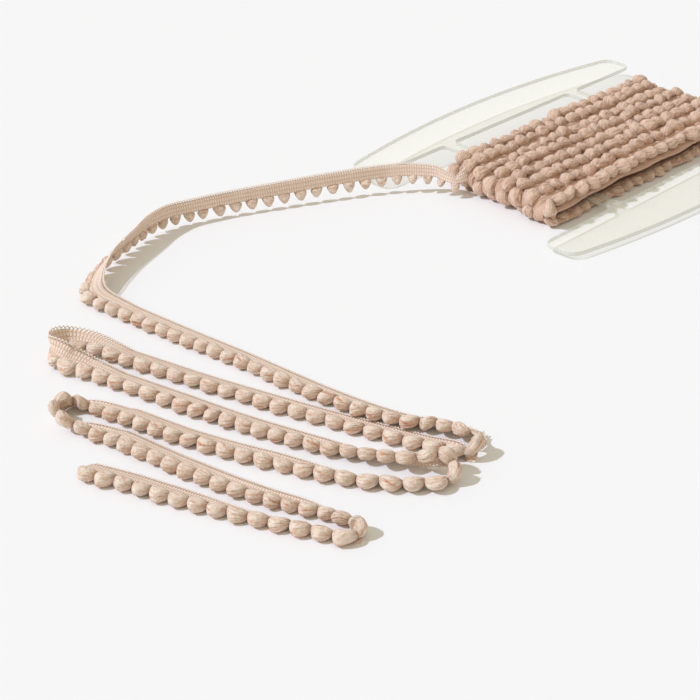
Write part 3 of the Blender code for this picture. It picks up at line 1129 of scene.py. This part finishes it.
@dataclass
class Tape:
    """The knitted tape: a thin ribbed band, curled where the line says so.

    Its section of so many columns is a flat loop of ribs, at stations a step apart of which every
    other one is a little thinner.

    Attributes:
        groove: depth of the grooves between the ribs, as a share of the thickness.
        pinch: share by which every other station is thinner.
        rim: power of the oval that the edges are rounded by.
    """

    columns: int
    step: float
    thickness: float = 0.95
    ribs: int = 5
    # Painted shade over the whole band, for tape that lies in shade between wound turns.
    shade: float = 0.0
    groove: float = 0.38
    pinch: float = 0.16
    rim: float = 14.0

    def build(self, frames_at: Follow, start: float, length: float, closing: Closing) -> Patch:
        """The band from one length along the line to another.

        Args:
            frames_at: function from lengths to Frames.
            start: first length.
            length: how far the band goes on from there.
            closing: how its ends are finished.

        Returns:
            The band as one patch.
        """
        rows = 2 * round(length / self.step / 2)
        ring = closing is Closing.RING
        stations = start + np.arange(rows) * (length / (rows if ring else rows - 1))
        frames = frames_at(stations)
        half = self.columns // 2
        inward = (np.arange(half) + 0.5) / half
        over = np.concatenate([inward, inward[::-1]])
        side = np.concatenate([np.ones(half), -np.ones(half)])
        ribbing = np.abs(np.sin(math.pi * self.ribs * over)) ** 0.7
        rib = 1.0 - self.groove + self.groove * ribbing
        rim = oval(2 * over - 1, self.rim, 0.5)
        beat = 1.0 - self.pinch * (np.arange(rows) % 2)
        rise = side * rib * rim * self.thickness / 2 * beat[:, None]
        band = Band(frames, over[None, :] * TAPE_WIDTH)
        points = band.points(np.zeros((1, 1)), rise, self.thickness / 2)
        # Painted shade, the same all over the band.
        dark = np.full((1, rows, self.columns), self.shade)
        return Patch(points[None], closing, (self.step / COURSE, 1.0), dark)


class Band:
    """The tape's middle surface, flat or rolled under towards the floor.

    Where it is squeezed a little, the tape draws in and stays flat. From there on it draws in
    less, at last to the square root of the share of width that is left, and rolls up for the
    rest. An arc of angle t has a chord of sin(t) / t of its length, so t is found from that
    rest; the place at distance s from the pompom edge is then, at radius r, r sin(s / r)
    inward and r (1 - cos(s / r)) off the face, on the side that looks down. The pompoms hold
    their edge up, so the tape also sags away from it.

    Attributes:
        ROLLED: share of width at and below which the tape draws in least.
        FLAT: share of width down to which it stays flat.
        SAG: how far the free edge sags where the tape lies level.
        CLEAR: gap left between the tape and the floor.
        ANGLES: arcs among which t is looked up, in radians.
    """

    ROLLED = 0.5
    FLAT = 0.8
    SAG = 1.5
    CLEAR = 0.05
    ANGLES = np.linspace(0.02, 2.9, 160)

    def __init__(self, frames: Frames, inward: Array) -> None:
        """Work out the section.

        Args:
            frames: the trim's frames.
            inward: distances from the pompom edge, for each frame or for all.
        """
        drawn = frames.width ** np.interp(frames.width, (self.ROLLED, self.FLAT), (0.5, 1.0))
        chords = np.sin(self.ANGLES) / self.ANGLES
        angle = np.interp(-frames.width / drawn, -chords, self.ANGLES)[:, None]
        radius = TAPE_WIDTH * drawn[:, None] / angle
        turn = inward / TAPE_WIDTH * angle
        down = -frames.upward()
        self.frames = frames
        self.inward = radius * np.sin(turn)
        sag = self.SAG * inward / TAPE_WIDTH * np.abs(frames.normal[:, 2:])
        self.lifted = (radius * (1.0 - np.cos(turn)) + sag) * down
        self.tangent = (np.cos(turn), np.sin(turn) * down)

    def points(self, out: Array, rise: Array, half: float) -> Array:
        """Places further along the section and off its face, kept above the floor.

        Args:
            out: distance on along the section.
            rise: distance off its face.
            half: least height of the middle surface.

        Returns:
            The places.
        """
        ahead, lean = self.tangent
        flat = self.inward + out * ahead
        off = self.lifted + out * lean
        middle = self.frames.point(-flat, off)
        middle[..., 2] = np.maximum(middle[..., 2], half + self.CLEAR)
        face = self.frames.across[:, None, :] * lean[..., None]
        face = face + self.frames.normal[:, None, :] * ahead[..., None]
        points = middle + face * rise[..., None]
        points[..., 2] = np.maximum(points[..., 2], FLOOR_CLEAR)
        return points


@dataclass
class Picots:
    """The tape's free edge: a thread thrown out in a small loop at each course.

    The thread's middle is at the edge plus a scallop, the absolute sine of the length by the
    course, lifted a little on the side that looks up, and a square section with smoothed corners
    is carried along it.

    Attributes:
        thread: distance from the thread's middle to its corners.
        seat: how far inside the tape's edge a loop starts.
        lift: height over the tape's face at a loop's foot, and arch is how much higher its tip is.
        samples: points of the thread for each course.
        wide: 1 over the share of the tape's width from which a loop is thrown in full.
        foot_shade: painted shade at a loop's foot, between the loops, less the tip_shade that
        lightens its tip.
    """

    thread: float = 0.32
    throw: float = 0.9
    seat: float = 0.15
    lift: float = 0.15
    arch: float = 0.25
    samples: int = 5
    wide: float = 1.2
    foot_shade: float = 1.1
    tip_shade: float = 0.2

    def build(self, frames_at: Follow, start: float, length: float) -> Patch:
        """The edging along a stretch of tape.

        Args:
            frames_at: function from lengths to Frames.
            start: first length.
            length: how far the edging goes on from there.

        Returns:
            The thread as one patch.
        """
        rows = int(length / COURSE) * self.samples
        stations = start + np.arange(rows) * (COURSE / self.samples)
        frames = frames_at(stations)
        scallop = np.abs(np.sin(math.pi * stations / COURSE))
        corner = math.pi / 4 - np.arange(4) * math.pi / 2
        throw = self.throw * np.minimum(frames.width * self.wide, 1.0)
        out = (throw * scallop)[:, None] - self.seat + self.thread * np.cos(corner)
        lift = frames.upward() * (self.lift + self.arch * scallop[:, None])
        rise = self.thread * np.sin(corner) + lift
        points = Band(frames, np.full((1, 4), TAPE_WIDTH)).points(out, rise, self.thread)
        # Painted shade in the gaps at the loops' feet, lighter at their tips.
        dark = (1.0 - scallop[None, :, None]) ** 2.0 * self.foot_shade - self.tip_shade
        scale = (1.0 / self.samples, 1.0)
        return Patch(points[None], Closing.CAPPED, scale, np.repeat(dark, 4, axis=2))


# ------------------------------------------------------------------ sub-assemblies

BODY = "root"


@dataclass
class LooseTrim:
    """The trim paid out in runs on the floor, its edging a margin short of the tape's ends."""

    line: LooseLine
    yarn: bpy.types.Material
    knit: bpy.types.Material
    thread: bpy.types.Material
    seed: int = 7
    margin: float = 0.3

    def build(self) -> None:
        """Make the tape, its edging and its pompoms, and say what they are."""
        middles = self.line.middles()
        rng = np.random.default_rng(self.seed)
        # The loose pompoms get painted shade next to the floor.
        puffs = Pompoms(rings=13, sides=30).build(
            self.line.sample, middles, rng, self.line.sizes(), contact=0.7
        )
        pompoms = put_in_scene("loose_pompoms", puffs.mesh("loose_pompoms"), self.yarn)
        end = middles[-1] + POMPOM_PITCH / 2
        band = Tape(columns=22, step=COURSE / 2).build(self.line.sample, 0.0, end, Closing.CAPPED)
        tape = put_in_scene("loose_tape", band.mesh("loose_tape"), self.knit)
        edging = Picots().build(self.line.sample, self.margin, end - 2 * self.margin)
        picots = put_in_scene("loose_picots", edging.mesh("loose_picots"), self.thread)
        for piece in (tape, picots, pompoms):
            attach(piece, BODY)
        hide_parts("loose_trim")


@dataclass
class WoundTrim:
    """The trim wound round the card's web in side-by-side turns over lower ones.

    Attributes:
        beside: distance of a lower turn from the one over it, and under is how much smaller it is.
        gap: height of the lower turns' underside.
        lower_seed: number that sets the first lower turn's wander.
    """

    card: Card
    yarn: bpy.types.Material
    knit: bpy.types.Material
    seed: int = 11
    beside: float = 3.2
    under: float = 1.8
    gap: float = 2.9
    lower_seed: int = 20

    def build(self) -> None:
        """Make the turns' tapes and pompoms and the turns that show between them."""
        rng = np.random.default_rng(self.seed)
        lines = [TurnLine(turn, self.card, number) for number, turn in enumerate(TURNS)]
        # The last turn lies the other way round.
        lines[-1].side = -1.0
        puffs, bands, lower = [], [], []
        outer = Pompoms(rings=9, sides=20, belly=2.4, deep=2.4, uneven=0.1)
        # The wound tapes carry painted shade, deeper on the lower turns that show in the gaps.
        tape = Tape(columns=14, step=COURSE, shade=0.3)
        deep_tape = Tape(columns=10, step=2 * COURSE, thickness=1.5, shade=0.45)
        for number, line in enumerate(lines):
            count = round(line.length / POMPOM_PITCH)
            pitch = line.length / count
            middles = (np.arange(count) + rng.random()) * pitch
            puffs.append(outer.build(line.sample, middles, rng))
            bands.append(tape.build(line.sample, 0.0, line.length, Closing.RING))
            across, top, reach = line.turn
            smaller = Turn(across + self.beside * line.side, top - self.under, reach - self.under)
            wander = number + self.lower_seed
            deeper = TurnLine(smaller, self.card, wander, floor_gap=self.gap, lean=0.0)
            lower.append(deep_tape.build(deeper.sample, 0.0, deeper.length, Closing.RING))
        pompoms = put_in_scene("wound_pompoms", joined("wound_pompoms", puffs), self.yarn)
        tapes = put_in_scene("wound_tape", joined("wound_tape", bands), self.knit)
        under = put_in_scene("lower_turns", joined("lower_turns", lower), self.knit)
        for piece in (pompoms, tapes, under):
            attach(piece, BODY)
        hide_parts("wound_trim")


def joined(name: str, patches: list[Patch]) -> bpy.types.Mesh:
    """One mesh that holds several patches.

    Args:
        name: name of the mesh.
        patches: the patches.

    Returns:
        The mesh.
    """
    objects = [linked(name, patch.mesh(name + "_part")) for patch in patches]
    target = objects[0]
    with bpy.context.temp_override(
        active_object=target, selected_editable_objects=objects, selected_objects=objects
    ):
        bpy.ops.object.join()
    mesh = target.data
    bpy.data.objects.remove(target)
    mesh.name = name
    return mesh


@dataclass
class WindingCard:
    """The flat card: two bowed side bars, ribs and a web, with a window each side of the web.

    Its outline and windows are flat closed lines with rounded corners; the plate between them
    has softly rounded rims.

    Attributes:
        inner: distance of a side bar's inner edge from the middle, as outer is its outer one's.
        bow: how much further out a side bar's outer edge is at its middle.
        web_length: half the web's length, as web_width is half its width.
        ribs: distances of a rib's inner and outer edge from the middle.
        rim: radius of the rims.
        bar_points: points of a bowed edge.
        corner: radius of a side bar's corners, as rib_corner is where a rib meets it, root_corner
            where the web meets a rib and web_corner at the web's own.
        face_skin: depth under a face that still counts as the face and not as a cut edge.
    """

    card: Card
    plastic: bpy.types.Material
    half_length: float = 90.0
    inner: float = 47.0
    outer: float = 62.0
    bow: float = 10.0
    web_length: float = 57.0
    web_width: float = 28.0
    ribs: tuple[float, float] = (40.0, 46.0)
    rim: float = 0.35
    bar_points: int = 25
    corner: float = 5.0
    rib_corner: float = 3.0
    root_corner: float = 2.0
    web_corner: float = 4.0
    face_skin: float = 0.05

    def outline(self) -> Array:
        """The outer line's corners: a bowed edge and a side, mirrored and turned.

        Returns:
            Along, across and radius of each corner.
        """
        share = np.linspace(-1.0, 1.0, self.bar_points)
        bowed = self.outer + self.bow * (1 - share**2)
        top = np.column_stack([share * self.half_length, bowed, np.zeros(self.bar_points)])
        top[[0, -1], 2] = self.corner
        far = self.ribs[1]
        side = np.array(
            [
                [self.half_length, self.inner, self.corner],
                [far, self.inner, self.rib_corner],
                [far, self.web_width, self.root_corner],
                [self.web_length, self.web_width, self.web_corner],
            ]
        )
        flip = np.array([1.0, -1.0, 1.0])
        turned = np.array([-1.0, -1.0, 1.0])
        half = np.concatenate([top, side, side[::-1] * flip])
        return np.concatenate([half, half * turned])

    def window(self, side: float) -> Array:
        """One window's corners, each with its radius.

        Args:
            side: 1 for the window on one side of the web, -1 for the other.

        Returns:
            Along, across and radius of each corner.
        """
        reach = self.ribs[0]
        low = [self.web_width * side, self.root_corner]
        high = [self.inner * side, self.rib_corner]
        return np.array([[-reach, *low], [reach, *low], [reach, *high], [-reach, *high]])

    def build(self) -> None:
        """Fill the plate between the lines, set it on the card's place and dress it."""
        curve = bpy.data.curves.new("winding_card_lines", "CURVE")
        curve.dimensions = "2D"
        curve.fill_mode = "BOTH"
        curve.extrude = (self.card.thickness / 2 - self.rim) * MM
        curve.bevel_depth = self.rim * MM
        curve.bevel_resolution = 2
        curve.offset = -self.rim * MM
        for corners in (self.outline(), self.window(1.0), self.window(-1.0)):
            line = rounded(corners)
            spline = curve.splines.new("POLY")
            spline.points.add(len(line) - 1)
            flat = np.column_stack([line * MM, np.zeros(len(line)), np.ones(len(line))])
            store(spline.points, "co", flat)
            spline.use_cyclic_u = True
        shape = linked("winding_card_lines", curve)
        bpy.context.view_layer.update()
        made = shape.evaluated_get(bpy.context.evaluated_depsgraph_get())
        mesh = bpy.data.meshes.new_from_object(made)
        bpy.data.objects.remove(shape)
        local = np.empty(len(mesh.vertices) * 3, np.float32)
        mesh.vertices.foreach_get("co", local)
        local = local.reshape(-1, 3).astype(float) / MM
        placed = self.card.points(local[:, 0], local[:, 1], local[:, 2])
        store(mesh.vertices, "co", (placed - LAYOUT_CENTRE) * MM)
        rim = np.abs(local[:, 2]) < self.card.thickness / 2 - self.face_skin
        store(mesh.attributes.new("shade", "FLOAT", "POINT").data, "value", rim)
        mesh.update()
        weld(mesh)
        plate = put_in_scene("winding_card_plate", mesh, self.plastic)
        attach(plate, BODY)
        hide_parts("winding_card")


def weld(mesh: bpy.types.Mesh) -> None:
    """Merge a mesh's doubled points and turn its faces outwards.

    Args:
        mesh: the mesh, which is changed.
    """
    work = bmesh.new()
    work.from_mesh(mesh)
    bmesh.ops.remove_doubles(work, verts=work.verts, dist=WELD)
    bmesh.ops.recalc_face_normals(work, faces=work.faces)
    work.to_mesh(mesh)
    work.free()


def rounded(corners: Array) -> Array:
    """A closed line with its corners rounded.

    A corner is replaced by a quadratic curve from the point its radius back along one side to
    the point its radius on along the next, and a corner of no radius stays.

    Args:
        corners: along, across and radius of each corner.

    Returns:
        The line's points.
    """
    line = []
    for before, corner, after in zip(np.roll(corners, 1, 0), corners, np.roll(corners, -1, 0)):
        if corner[2] == 0:
            line.append(corner[None, :2])
            continue
        back = corner[:2] + unit(before[:2] - corner[:2]) * corner[2]
        on = corner[:2] + unit(after[:2] - corner[:2]) * corner[2]
        share = np.linspace(0.0, 1.0, CORNER_POINTS)[:, None]
        line.append(back * (1 - share) ** 2 + 2 * corner[:2] * share * (1 - share) + on * share**2)
    return np.concatenate(line)


# ------------------------------------------------------------------ stage


@dataclass
class Studio:
    """Pale floor, one soft sun from the left, a bright surround and the camera.

    Places are in metres, angles in degrees, and the lens and its sensor in millimetres.
    """

    camera_place: tuple[float, float, float] = (-0.0575, -0.53626, 0.254545)
    pitch: float = 61.0
    bank: float = -3.85
    lens: float = 76.8
    shadow: tuple[float, float, float] = (0.95, 0.12, -1.0)
    sun_strength: float = 2.1
    sun_width: float = 2.5
    sun_colour: tuple[float, float, float] = (0.893, 0.967, 1.165)
    surround: float = 0.6
    sky_colour: Colour = (1.0, 0.94, 0.79, 1.0)
    floor_reach: float = 3.0
    sensor: float = 36.0
    clip: tuple[float, float] = (0.01, 20.0)

    def floor(self) -> None:
        """A wide white floor."""
        half = self.floor_reach
        mesh = bpy.data.meshes.new("floor")
        corners = [(-half, -half, 0.0), (half, -half, 0.0), (half, half, 0.0), (-half, half, 0.0)]
        mesh.from_pydata(corners, [], [(0, 1, 2, 3)])
        put_in_scene("floor", mesh, FloorFinish().dress("white_floor"))

    def light(self) -> None:
        """The sun, whose shadows fall to the right, and the even surround."""
        lamp = bpy.data.lights.new("sun", "SUN")
        lamp.energy = self.sun_strength
        lamp.angle = math.radians(self.sun_width)
        lamp.color = self.sun_colour
        holder = linked("sun", lamp)
        holder.rotation_mode = "QUATERNION"
        holder.rotation_quaternion = Vector(self.shadow).to_track_quat("-Z", "Y")
        world = bpy.data.worlds.new("surround")
        bpy.context.scene.world = world
        world.use_nodes = True
        sky = world.node_tree.nodes["Background"]
        sky.inputs["Color"].default_value = self.sky_colour
        sky.inputs["Strength"].default_value = self.surround

    def camera(self) -> None:
        """The camera, banked a little."""
        data = bpy.data.cameras.new("camera")
        data.sensor_width = self.sensor
        data.lens = self.lens
        data.clip_start, data.clip_end = self.clip
        holder = linked("camera", data)
        holder.location = self.camera_place
        holder.rotation_mode = "QUATERNION"
        pitch = Euler((math.radians(self.pitch), 0.0, 0.0)).to_quaternion()
        bank = Euler((0.0, 0.0, math.radians(self.bank))).to_quaternion()
        holder.rotation_quaternion = pitch @ bank
        bpy.context.scene.camera = holder
        bpy.context.scene.view_settings.view_transform = "Standard"


def main() -> None:
    """Build the stage, the card, the wound turns and the loose trim, and note the sizes."""
    logging.basicConfig(level=logging.INFO)
    studio = Studio()
    studio.floor()
    studio.light()
    studio.camera()
    yarn = YarnFinish().dress("pompom_yarn")
    knit = KnitFinish().dress("knitted_tape")
    card = Card()
    WindingCard(card, PlasticFinish().dress("cream_plastic")).build()
    # The wound turns' yarn and tape are darker copies of the loose ones: painted shade of the
    # packed bundle.
    wound_yarn_painted_shade = YarnFinish(light=(0.875, 0.645, 0.49, 1.0), dark=(0.43, 0.18, 0.10, 1.0))
    wound_knit_painted_shade = KnitFinish(light=(0.80, 0.58, 0.44, 1.0), wales=8.0, contrast=0.2)
    WoundTrim(card, wound_yarn_painted_shade.dress("wound_yarn_painted_shade"), wound_knit_painted_shade.dress("wound_knit_painted_shade")).build()
    thread = KnitFinish(light=(0.97, 0.85, 0.74, 1.0), contrast=0.1, relief=0.00002)
    LooseTrim(LooseLine(), yarn, knit, thread.dress("picot_thread")).build()


if __name__ == "__main__":
    main()
